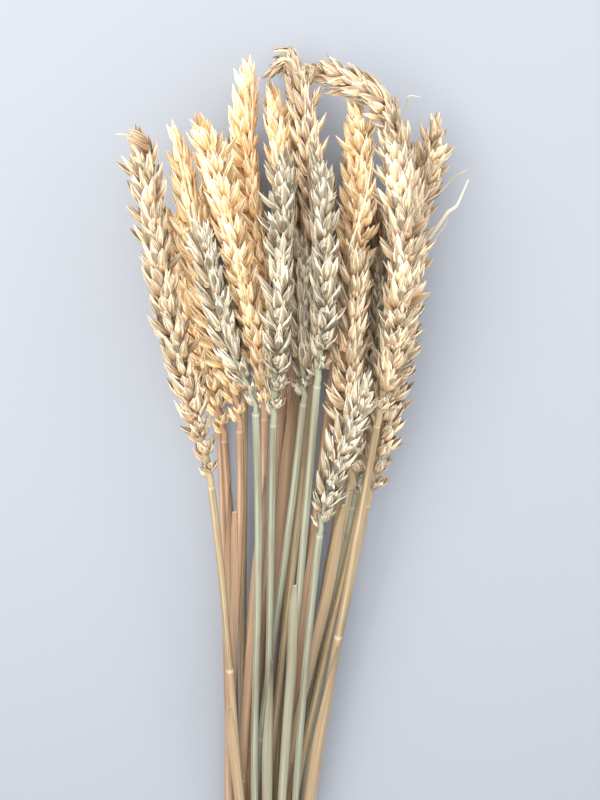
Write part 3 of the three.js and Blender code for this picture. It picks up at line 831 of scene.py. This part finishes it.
def chaff_material(tone, colours, stem_colour):
    """Wheat chaff, ripened and dried: papery bracts, matt and ribbed lengthwise. It gives a soft look that
    lets a little light in and pale tips. Keels and edges are pale partly as dry margins and partly as painted
    highlight. Painted shade darkens the inner faces and grooves, and in part the husk roots; here and there a
    window is partly green-grey and partly painted shade of the glume's hollow."""
    material = bpy.data.materials.new("wheat chaff, dried papery, " + tone)
    material.use_nodes = True
    tree = material.node_tree
    tree.nodes.clear()
    add = functools.partial(add_node, tree)
    way, side, husk_tone, glume, spikelet_tone, stem = (
        add("ShaderNodeAttribute", attribute_name=name).outputs["Fac"]
        for name in ("husk_way", "husk_side", "husk_tone", "glume", "spikelet_tone", "stem")
    )

    # Ribs, by a pattern that follows each husk, and clouds over the whole ear.
    rib_at = {}
    for axis, source, scale in (
        ("X", side, HUSK_ARC / NERVE_WIDTH),
        ("Y", way, HUSK_LENGTH / NERVE_LENGTH),
        ("Z", husk_tone, NERVE_SHIFT),
    ):
        rib_at[axis] = add("ShaderNodeMath", {0: source, 1: scale}, operation="MULTIPLY").outputs[0]
    rib_place = add("ShaderNodeCombineXYZ", rib_at).outputs[0]
    rib = add("ShaderNodeTexNoise", {"Vector": rib_place, "Scale": 1.0, "Detail": 2.0}).outputs[0]
    place = add("ShaderNodeTexCoord").outputs["Object"]
    cloud = add(
        "ShaderNodeTexNoise", {"Vector": place, "Scale": 1 / CLOUD_SPAN, "Detail": 3.0}
    ).outputs[0]

    # How far a point lies from the keel, and from the middle of the oval of a husk's window, which is partly
    # grey-green and partly painted shade of its hollow.
    across = add("ShaderNodeMath", {0: side, 1: 0.0}, operation="ABSOLUTE").outputs[0]
    off_middle = add("ShaderNodeMath", {0: way, 1: 0.5}, operation="SUBTRACT").outputs[0]
    away = 0.0
    for off, half in ((across, 0.78), (off_middle, 0.3)):
        part = add("ShaderNodeMath", {0: off, 1: half}, operation="DIVIDE").outputs[0]
        away = add("ShaderNodeMath", {0: part, 1: part, 2: away}, operation="MULTIPLY_ADD").outputs[0]

    # Each look of a husk: what it follows, from where to where, and the share that it has at each.
    # This gain lifts each husk's rib light; for gold it is painted light.
    gain_and_painted_light = EAR_GAIN_AND_PAINTED_LIGHT[tone]
    picked = 1 - WINDOW_AND_SHADE_SHARE[tone]
    looks = {
        "keel": (across, 0.2, 0.0, 0.0, 0.48),
        "edge": (across, 0.6, 0.95, 0.0, 0.6),
        "outer face": (across, 1.3, 1.1, 0.0, 1.0),
        "inner face": (across, 1.15, 1.5, 0.0, 0.8),
        "oval": (away, 1.05, 0.55, 0.0, 1.0),
        "picked": (husk_tone, picked, picked + 0.05, 0.0, 1.0),
        "on a glume": (glume, 0.0, 1.0, 0.8, 0.9),
        "groove": (rib, 0.54, 0.44, 0.0, 0.5),
        "rib light": (rib, 0.43, 0.57, 0.66 * gain_and_painted_light, 1.16 * gain_and_painted_light),
        "husk light": (husk_tone, 0.0, 0.7, 0.84, 1.06),
        "spikelet light": (spikelet_tone, 0.0, 1.0, 0.9, 1.06),
        "cloud light": (cloud, 0.3, 0.7, 0.86, 1.08),
    }
    share = {}
    for look, (source, low, high, at_low, at_high) in looks.items():
        eased = add(
            "ShaderNodeMapRange",
            {"Value": source, "From Min": low, "From Max": high, "To Min": at_low, "To Max": at_high},
            interpolation_type="SMOOTHSTEP",
        )
        share[look] = eased.outputs[0]
    products = {
        "pale edge and highlight": ("edge", "outer face"),
        "window": ("oval", "picked", "on a glume"),
        "light": ("rib light", "husk light", "spikelet light", "cloud light"),
    }
    for name, factors in products.items():
        product = share[factors[0]]
        for factor in factors[1:]:
            product = add("ShaderNodeMath", {0: product, 1: share[factor]}, operation="MULTIPLY").outputs[0]
        share[name] = product
    # Keels and edges are pale partly as thin dry margins and partly as painted highlight where they catch the
    # light.
    pale = add("ShaderNodeMath", {0: share["pale edge and highlight"], 1: share["keel"]}, operation="MAXIMUM").outputs[0]

    # Towards its root a husk turns darker and warmer, partly its own colour and partly painted shade of the
    # crevices between husks.
    ramp = add("ShaderNodeValToRGB", {"Fac": way})
    stops = ((0.0, "base"), (0.2, "base"), (0.5, "middle"), (1.0, "tip"))
    while len(ramp.color_ramp.elements) < len(stops):
        ramp.color_ramp.elements.new(0.5)
    for element, (at, part) in zip(ramp.color_ramp.elements, stops):
        element.position = at
        element.color = linear(colours[part])
    colour = ramp.outputs[0]
    # The inside colour, darker than the body, is painted shade: on the inner face for the husk's hollow, and
    # in the grooves between its ribs.
    for much, part in (
        (share["inner face"], "inside"),
        (pale, "edge"),
        (share["window"], "window"),
        (share["groove"], "inside"),
    ):
        colour = add(
            "ShaderNodeMix", {"Factor": much, "A": colour, "B": linear(colours[part])}, data_type="RGBA"
        ).outputs["Result"]
    husk = add("ShaderNodeHueSaturation", {"Value": share["light"], "Color": colour}).outputs[0]
    finish = add(
        "ShaderNodeMix", {"Factor": stem, "A": husk, "B": linear(stem_colour)}, data_type="RGBA"
    ).outputs["Result"]
    bump = add("ShaderNodeBump", {"Strength": 0.8, "Distance": 0.25 * MM, "Height": rib}).outputs[0]
    shader = add(
        "ShaderNodeBsdfPrincipled",
        {
            "Base Color": finish,
            "Roughness": 0.75,
            "IOR": 1.3,
            "Subsurface Weight": 0.15,
            "Subsurface Radius": (1.0, 0.55, 0.3),
            "Subsurface Scale": 0.6 * MM,
            "Normal": bump,
        },
    )
    add("ShaderNodeOutputMaterial", {"Surface": shader.outputs[0]})
    return material


def reach_at(stalk, along):
    """How far a stalk reaches from its middle: a thin straw and neck, and then the ear."""
    in_ear = np.maximum(along - stalk.ear_at, 0)
    return np.minimum(EAR_REACH * stalk.girth, STRAW_RADIUS + in_ear * EAR_REACH / EAR_FILLING)


def stations_of(stalk):
    """Points along a stalk that neighbours are measured from."""
    count = math.ceil(stalk.length / STATION_STEP)
    along = np.linspace(0, stalk.length, count + 1)
    return along, stalk.frames(along)[0]


stations = {stalk.number: stations_of(stalk) for stalk in stalks}


def nearest_on(other, point):
    """The nearest place on a stalk to a point, how far it is and how far along."""
    along, line = stations[other.number]
    runs = np.diff(line, axis=0)
    share = np.einsum("ij,ij->i", point - line[:-1], runs) / np.einsum("ij,ij->i", runs, runs)
    share = np.clip(share, 0, 1)
    feet = line[:-1] + runs * share[:, None]
    gaps = np.linalg.norm(feet - point, axis=1)
    i = int(np.argmin(gaps))
    return feet[i], gaps[i], along[i] + (along[i + 1] - along[i]) * share[i]


def pressing_planes(stalk, along):
    """The planes that an ear stays behind at a length: halfway to another ear, or clear of a straw."""
    centre = stalk.frames(np.array([along]))[0][0]
    own = reach_at(stalk, along)
    planes = []
    for other in stalks:
        if other is stalk:
            continue
        foot, gap, at = nearest_on(other, centre)
        reach = reach_at(other, at)
        if gap > own + reach + STRAW_GAP:
            continue
        if at < other.ear_at:
            limit = gap - STRAW_RADIUS - STRAW_GAP
        else:
            limit = gap * own / (own + reach) - TOUCHING_GAP / 2
        planes.append(((foot - centre) / gap, limit))
    return planes


def pressed(stalk, along, points):
    """Moves the points of an ear behind its neighbours' planes, and up onto the surface."""
    placed = points.copy()
    station = np.round(along / MM).astype(int)
    middles = stalk.frames(along)[0]
    for key in np.unique(station):
        here = station == key
        planes = pressing_planes(stalk, key * MM)
        offset = points[here] - middles[here]
        for normal, limit in planes:
            if limit >= HUSK_REACH:
                continue
            start = limit * FREE_SHARE
            height = offset @ normal
            over = np.maximum(height - start, 0)
            offset += np.outer(over * (limit - HUSK_REACH) / (HUSK_REACH - start), normal)
        for _ in range(PRESSING_PASSES):
            for normal, limit in planes:
                over = np.maximum(offset @ normal - limit, 0)
                offset -= np.outer(over, normal)
        placed[here] = middles[here] + offset
    placed[:, 2] = np.maximum(placed[:, 2], 0)
    return placed


def bend_ear(mesh, stalk):
    """Bends a straight ear onto its stalk, twists it a little, and presses it among its neighbours."""
    flat = np.zeros(len(mesh.vertices) * 3, dtype=np.float32)
    mesh.vertices.foreach_get("co", flat)
    across, along, above = flat.reshape(-1, 3).astype(float).T
    across *= stalk.girth
    above *= stalk.girth
    turn = stalk.face + along * EAR_TWIST
    sideways = across * np.cos(turn) - above * np.sin(turn)
    upwards = across * np.sin(turn) + above * np.cos(turn)
    along = along + stalk.ear_at
    middle, side, up, _ = stalk.frames(along)
    points = middle + side * sideways[:, None] + up * upwards[:, None]
    points = pressed(stalk, along, points)
    mesh.vertices.foreach_set("co", points.ravel().astype(np.float32))
    mesh.update()


chaffs = {
    tone: chaff_material(tone, colours, STRAW_TONES[tone][0]) for tone, colours in EAR_TONES.items()
}
stock = spikelet_stock()
growing_tree = ear_tree()
for stalk in stalks:
    label = f"ear_{stalk.number:02d}"
    ear_length = stalk.length - stalk.ear_at
    room = ear_length - TOP_SPIKELET * SPIKELET_LENGTH
    count = round(room / INTERNODE) - NECK_INTERNODES
    ear = grown(
        label,
        bpy.data.meshes.new("empty"),
        growing_tree,
        {
            "Spikelets": count,
            "Spacing": room / (count + NECK_INTERNODES),
            "Seed": stalk.number,
            "Stock": stock,
            "Chaff": chaffs[stalk.tone],
        },
    )
    bend_ear(ear, stalk)
    show(label, ear)


# Loose ends. Some straws keep the papery foot of a leaf, which has come open and lifts towards its end. Here
# and there a bristle, a torn strand of leaf or a bent husk stands off an ear. They are dry and pale, and hold
# on by their roots.

# For each ear with bristles: the radius of each and the points that it passes, in millimetres.
BRISTLES = {
    12: [
        (
            0.2,
            [
                (30.6, 314, 46),
                (29.6, 311, 52),
                (28.6, 307, 56),
                (26.5, 300, 57),
                (24.8, 294, 54),
                (24.5, 291, 49),
            ],
        ),
    ],
    20: [
        (
            0.2,
            [
                (40, 329, 38),
                (40.3, 331, 42),
                (40, 332.4, 45),
                (40.5, 332.9, 46),
                (41.7, 332.9, 46.5),
                (43.5, 332.6, 46),
            ],
        ),
    ],
    21: [
        (
            0.55,
            [
                (47.9, 294.7, 44),
                (50.3, 300, 49),
                (51.5, 302.7, 52),
                (53.2, 304.4, 54),
                (54, 307, 56),
                (55.4, 311.6, 58),
            ],
        ),
        (0.18, [(49.1, 293.9, 44), (49.6, 295.6, 46), (51.1, 298.5, 49), (51.6, 301.4, 52)]),
    ],
    14: [
        (0.38, [(52.1, 305.8, 28), (53.8, 308.5, 32), (55, 310.7, 36), (56.4, 312.4, 40), (58, 313.6, 43)]),
    ],
    22: [
        (0.22, [(-33.5, 322, 55.5), (-34.9, 322.9, 56), (-36.1, 323.1, 56.5), (-37.3, 323, 56.5)]),
    ],
}
BRISTLE_STEPS = 8  # for each span between two points
BRISTLE_THINNING = 0.65  # share of its thickness that is lost at its tip
BRISTLE_TONE = 0.9  # as pale as a husk at nine tenths of its length
BRISTLE_SIDES = 7
# For each ear with bent husks: the root and the tip of each, in millimetres.
BENT_HUSKS = {22: [((-29, 319, 53), (-35, 323, 56)), ((-29.5, 321, 54), (-33.9, 324.4, 57))]}
BENT_HALF_WIDTH = 1.2 * MM
BENT_BULGE = 1.0 * MM
BENT_FLARE = 0.3 * MM


def bristle_lines(bristles):
    """Smooth lines through the bristles' points, each thin at its tip."""
    points, edges, thickness = [], [], []
    for radius, knots in bristles:
        knots = np.array(knots) * MM
        at = np.arange(len(knots))
        fine = np.linspace(0, len(knots) - 1, (len(knots) - 1) * BRISTLE_STEPS + 1)
        slopes = np.gradient(knots, axis=0)
        i = np.minimum(fine.astype(int), len(knots) - 2)
        u = (fine - at[i])[:, None]
        line = knots[i] * (2 * u**3 - 3 * u**2 + 1) + knots[i + 1] * (3 * u**2 - 2 * u**3)
        line += slopes[i] * (u**3 - 2 * u**2 + u) + slopes[i + 1] * (u**3 - u**2)
        edges += [(len(points) + j, len(points) + j + 1) for j in range(len(line) - 1)]
        points += line.tolist()
        thickness += (radius * MM * (1 - BRISTLE_THINNING * (fine / fine[-1]) ** 2)).tolist()
    mesh = bpy.data.meshes.new("bristle lines")
    mesh.from_pydata(points, edges, [])
    store(mesh, "thickness", thickness)
    return mesh


def strand_tree():
    """A round strand along each drawn line, as thick as the line says."""
    tree = new_tree("strand", [("Sides", "Int", BRISTLE_SIDES), ("Skin", "Material", None)])
    add = functools.partial(add_node, tree)
    given = add("NodeGroupInput").outputs
    line = add("GeometryNodeMeshToCurve", {"Mesh": given["Geometry"]}).outputs[0]
    thick = add("GeometryNodeInputNamedAttribute", {"Name": "thickness"}, data_type="FLOAT").outputs[0]
    ring = add("GeometryNodeCurvePrimitiveCircle", {"Resolution": given["Sides"], "Radius": 1.0}).outputs[0]
    around = add("GeometryNodeSplineParameter").outputs["Factor"]
    marked = add(
        "GeometryNodeStoreNamedAttribute",
        {"Geometry": ring, "Name": "around", "Value": around},
        data_type="FLOAT",
        domain="POINT",
    ).outputs[0]
    strands = add(
        "GeometryNodeCurveToMesh",
        {"Curve": line, "Profile Curve": marked, "Scale": thick, "Fill Caps": True},
    ).outputs[0]
    skinned = add("GeometryNodeSetMaterial", {"Geometry": strands, "Material": given["Skin"]}).outputs[0]
    add("NodeGroupOutput", {"Geometry": skinned})
    return tree


def bent_husks_mesh(husks):
    """Single husks, each from its root to its tip, with the back up."""
    points, faces, ways, sides = [], [], [], []
    for root, tip in husks:
        root = Vector(root) * MM
        run = Vector(tip) * MM - root
        form, form_faces, form_ways, form_sides = husk_form(
            run.length, BENT_HALF_WIDTH, BENT_BULGE, BENT_FLARE
        )
        along = run.normalized()
        side = along.cross((0, 0, 1)).normalized()
        turn = Matrix((along.cross(side), along, side)).transposed()
        start = sum(len(p) for p in points)
        points.append(form @ np.array(turn).T + np.array(root))
        faces += [[start + i for i in face] for face in form_faces]
        ways.append(form_ways)
        sides.append(form_sides)
    mesh = bpy.data.meshes.new("bent husks")
    mesh.from_pydata(np.concatenate(points).tolist(), [], faces)
    store(mesh, "husk_way", np.concatenate(ways))
    store(mesh, "husk_side", np.concatenate(sides))
    return mesh


# The leaf feet that have come loose: the straw, where each starts and ends along it in millimetres from the
# cut, and the direction of its back from the straw's right side, in degrees.
LEAF_FEET = [
    (3, 205, 302, 90),
    (8, 190, 306, 60),
    (9, 215, 336, 110),
    (10, 205, 342, 80),
    (12, 170, 300, 60),
    (13, 150, 286, 100),
    (15, 160, 306, 140),
    (16, 185, 318, 70),
    (19, 190, 308, 120),
    (22, 90, 226, 110),
    (24, 110, 248, 60),
    (25, 168, 276, 130),
    (27, 92, 254, 80),
]
LEAF_STEP = 3.5 * MM
LEAF_COLUMNS = 8
LEAF_WRAP = math.radians(140)  # to each side of its back, at its foot
LEAF_OPENING = 0.4  # share of the wrap that is lost towards its end
LEAF_RADIUS = 1.2 * STRAW_RADIUS
LEAF_LIFT = 0.75  # how far its free edge stands off at the end, in radii
LEAF_LIFT_POWER = 1.5  # how late that starts
LEAF_THICKNESS = 0.14 * MM
LEAF_END = 0.4  # share of its length in which it runs out to a point
LEAF_END_POWER = 0.7  # how round that is
LEAF_POINT = 0.02  # share of its width that is left there


def leaf_foot_mesh(stalk, start, end, back, tone):
    """A papery strip wrapped round a straw, open along one side, its free edge lifting towards its end."""
    along = np.arange(start * MM, end * MM, LEAF_STEP)
    way = (along - along[0]) / (along[-1] - along[0])
    middle, across, up, _ = stalk.frames(along)
    width = np.clip((1 - way) / LEAF_END, LEAF_POINT, 1) ** LEAF_END_POWER
    wrap = LEAF_WRAP * (1 - LEAF_OPENING * way) * width
    edge = np.linspace(-1, 1, LEAF_COLUMNS)
    angle = math.radians(back) + wrap[:, None] * edge
    lift = LEAF_LIFT * way[:, None] ** LEAF_LIFT_POWER * ((1 + edge) / 2) ** 2
    outer = LEAF_RADIUS * (1 + lift)
    angle = np.concatenate([angle, angle[:, ::-1]], axis=1)
    radius = np.concatenate([outer, outer[:, ::-1] - LEAF_THICKNESS], axis=1)
    points = (
        middle[:, None]
        + (np.cos(angle) * radius)[..., None] * across[:, None]
        + (np.sin(angle) * radius)[..., None] * up[:, None]
    )
    ring = 2 * LEAF_COLUMNS
    faces = [list(range(ring)), [(len(along) - 1) * ring + i for i in reversed(range(ring))]]
    for step in range(len(along) - 1):
        for i in range(ring):
            j = (i + 1) % ring
            faces.append([step * ring + j, step * ring + i, (step + 1) * ring + i, (step + 1) * ring + j])
    mesh = bpy.data.meshes.new("leaf foot")
    mesh.from_pydata(points.reshape(-1, 3).tolist(), [], faces)
    half_round = (1 + edge) / 4
    store(mesh, "around", np.tile(np.concatenate([half_round, half_round[::-1]]), len(along)))
    store(mesh, "along", np.repeat(along, ring))
    store(mesh, "sheath", np.ones(len(mesh.vertices)))
    store(mesh, "below_rim", np.repeat(along[-1] - along, ring))
    store(mesh, "below_ear", np.ones(len(mesh.vertices)))
    store(mesh, "stalk_tone", np.full(len(mesh.vertices), tone))
    return mesh


leaf_numbers = drawn_numbers(SEED + 4)
for number, start, end, back in LEAF_FEET:
    stalk = stalks[number - 1]
    leaf = leaf_foot_mesh(stalk, start, end, back, next(leaf_numbers))
    map_skin(leaf)
    leaf.materials.append(straw_skins[stalk.tone])
    show(f"straw_{number:02d}", leaf, "leaf")

round_strand = strand_tree()
for number, bristles in BRISTLES.items():
    label = f"ear_{number:02d}"
    tone = stalks[number - 1].tone
    mesh = grown(label + " bristles", bristle_lines(bristles), round_strand, {"Skin": chaffs[tone]})
    store(mesh, "husk_way", np.full(len(mesh.vertices), BRISTLE_TONE))
    show(label, mesh, "bristles")
for number, husks in BENT_HUSKS.items():
    label = f"ear_{number:02d}"
    tone = stalks[number - 1].tone
    mesh = bent_husks_mesh(husks)
    mesh.materials.append(chaffs[tone])
    show(label, mesh, "bent_husks")


# Tie. Natural three-ply twine, drawn three times round the straws. Spun plant fibre is matt and brown,
# with single hairs and darker flecks along its plies.
TWINE_TURNS = 3
TWINE_PITCH = 1.75 * MM  # along the bundle, from one turn to the next
PLY_COUNT = 3
PLY_RADIUS = 0.47 * MM
PLY_OFFSET = 0.45 * MM
PLY_LAY = 4.5 * MM  # length of one full twist
PLY_STEP = 0.5 * MM
TURN_STEPS = 180  # for one turn round the straws
PLY_HALF_GIRTH = math.pi * PLY_RADIUS
HAIR_WIDTH = 0.0984 * MM  # a bundle of real fibres, because a single one is too fine to show
HAIR_LENGTH = 2 / 3 * MM


def twine_path():
    """The middle line of the twine round the outermost straws, at even steps, with its outward direction."""
    turns = np.linspace(0, TWINE_TURNS * 2 * math.pi, TWINE_TURNS * TURN_STEPS + 1) - math.pi / 2
    progress = np.linspace(0.5, -0.5, len(turns)) * TWINE_TURNS * TWINE_PITCH
    middles = np.stack([stalk.frames(stalk.tie_at + progress)[0] for stalk in stalks])
    outward = np.stack([np.cos(turns), np.zeros_like(turns), np.sin(turns)], axis=1)
    furthest = np.argmax(np.einsum("sij,ij->si", middles, outward), axis=0)
    around = STRAW_RADIUS + TWINE_CLEARANCE + TWINE_RADIUS
    path = middles[furthest, np.arange(len(turns))] + outward * around
    path[:, 1] = progress
    steps = np.linalg.norm(np.diff(path, axis=0), axis=1)
    lengths = np.concatenate([[0], np.cumsum(steps)])
    even = np.linspace(0, lengths[-1], round(lengths[-1] / PLY_STEP) + 1)
    points = np.stack([np.interp(even, lengths, column) for column in path.T], axis=1)
    normal = np.stack([np.interp(even, lengths, column) for column in outward.T], axis=1)
    normal /= np.linalg.norm(normal, axis=1, keepdims=True)
    return even, points, normal


def ply_lines():
    """The middle lines of the plies, twisted about the path."""
    along, points, normal = twine_path()
    tangent = np.gradient(points, along, axis=0)
    binormal = np.cross(tangent, normal)
    binormal /= np.linalg.norm(binormal, axis=1, keepdims=True)
    lines, edges = [], []
    for ply in range(PLY_COUNT):
        angle = (along / PLY_LAY + ply / PLY_COUNT) * 2 * math.pi
        twist = normal * np.cos(angle)[:, None] + binormal * np.sin(angle)[:, None]
        edges += [(len(along) * ply + i, len(along) * ply + i + 1) for i in range(len(along) - 1)]
        lines.append(points + twist * PLY_OFFSET)
    mesh = bpy.data.meshes.new("ply lines")
    mesh.from_pydata(np.concatenate(lines).tolist(), edges, [])
    store(mesh, "along", np.tile(along, PLY_COUNT))
    store(mesh, "thickness", np.full(len(along) * PLY_COUNT, PLY_RADIUS))
    return mesh


def twine_material():
    """Jute, a rough plant fibre spun into plies. It gives a matt brown with fine pale hairs along each ply
    and darker flecks between them."""
    material = bpy.data.materials.new("jute, spun")
    material.use_nodes = True
    tree = material.node_tree
    tree.nodes.clear()
    add = functools.partial(add_node, tree)
    flat = add("ShaderNodeUVMap", uv_map="skin").outputs[0]
    hair_place = add(
        "ShaderNodeMapping",
        {"Vector": flat, "Scale": (PLY_HALF_GIRTH / HAIR_WIDTH, SKIN_SPAN / HAIR_LENGTH, 1)},
    ).outputs[0]
    hair = add("ShaderNodeTexNoise", {"Vector": hair_place, "Scale": 1.0, "Detail": 4.0}).outputs[0]
    ramp = add("ShaderNodeValToRGB", {"Fac": hair})
    for element, (at, colour) in zip(ramp.color_ramp.elements, ((0.32, "#6E5232"), (0.62, "#BF9F6F"))):
        element.position = at
        element.color = linear(colour)
    bump = add("ShaderNodeBump", {"Strength": 0.6, "Distance": 0.2 * MM, "Height": hair}).outputs[0]
    shader = add(
        "ShaderNodeBsdfPrincipled",
        {"Base Color": ramp.outputs[0], "Roughness": 0.9, "Sheen Weight": 0.3, "Normal": bump},
    )
    add("ShaderNodeOutputMaterial", {"Surface": shader.outputs[0]})
    return material


twine = grown("tie", ply_lines(), round_strand, {"Skin": twine_material()})
map_skin(twine)
show("tie", twine)


# Surface and light. The bundle lies on a plain pale surface under large soft lamps.
FLOOR_COLOUR = "#9CA1A9"
FLOOR_REACH = 3  # metres, to each side
EARS_MIDDLE = Vector((10, 270, 30)) * MM


def lay_floor():
    """A wide flat board, painted matt, so that it shows soft shadows and no reflection."""
    mesh = bpy.data.meshes.new("floor")
    corners = [(x * FLOOR_REACH, y * FLOOR_REACH, 0) for x, y in ((-1, -1), (1, -1), (1, 1), (-1, 1))]
    mesh.from_pydata(corners, [], [(0, 1, 2, 3)])
    floor = bpy.data.objects.new("floor", mesh)
    material = bpy.data.materials.new("board, painted matt")
    material.use_nodes = True
    shader = material.node_tree.nodes["Principled BSDF"]
    shader.inputs["Base Color"].default_value = linear(FLOOR_COLOUR)
    shader.inputs["Roughness"].default_value = 0.8
    mesh.materials.append(material)
    bpy.context.scene.collection.objects.link(floor)


def hang_lamp(name, place, size, power, colour):
    """A square lamp that shines at the middle of the ears."""
    data = bpy.data.lights.new(name, "AREA")
    data.size = size
    data.energy = power
    data.color = linear(colour)[:3]
    lamp = bpy.data.objects.new(name, data)
    lamp.location = place
    aim = EARS_MIDDLE - Vector(place)
    lamp.rotation_euler = aim.to_track_quat("-Z", "Y").to_euler()
    bpy.context.scene.collection.objects.link(lamp)


lay_floor()
hang_lamp("key", (-0.14, 0.44, 0.6), 0.5, 5.4, "#FFFAF4")
hang_lamp("fill", (0.4, 0.5, 0.8), 0.9, 3.5, "#F6F8FF")
world = bpy.data.worlds.new("room")
world.use_nodes = True
world.node_tree.nodes["Background"].inputs["Color"].default_value = linear("#F2F4F7")
world.node_tree.nodes["Background"].inputs["Strength"].default_value = 1.0
bpy.context.scene.world = world
bpy.context.scene.view_settings.view_transform = "Standard"
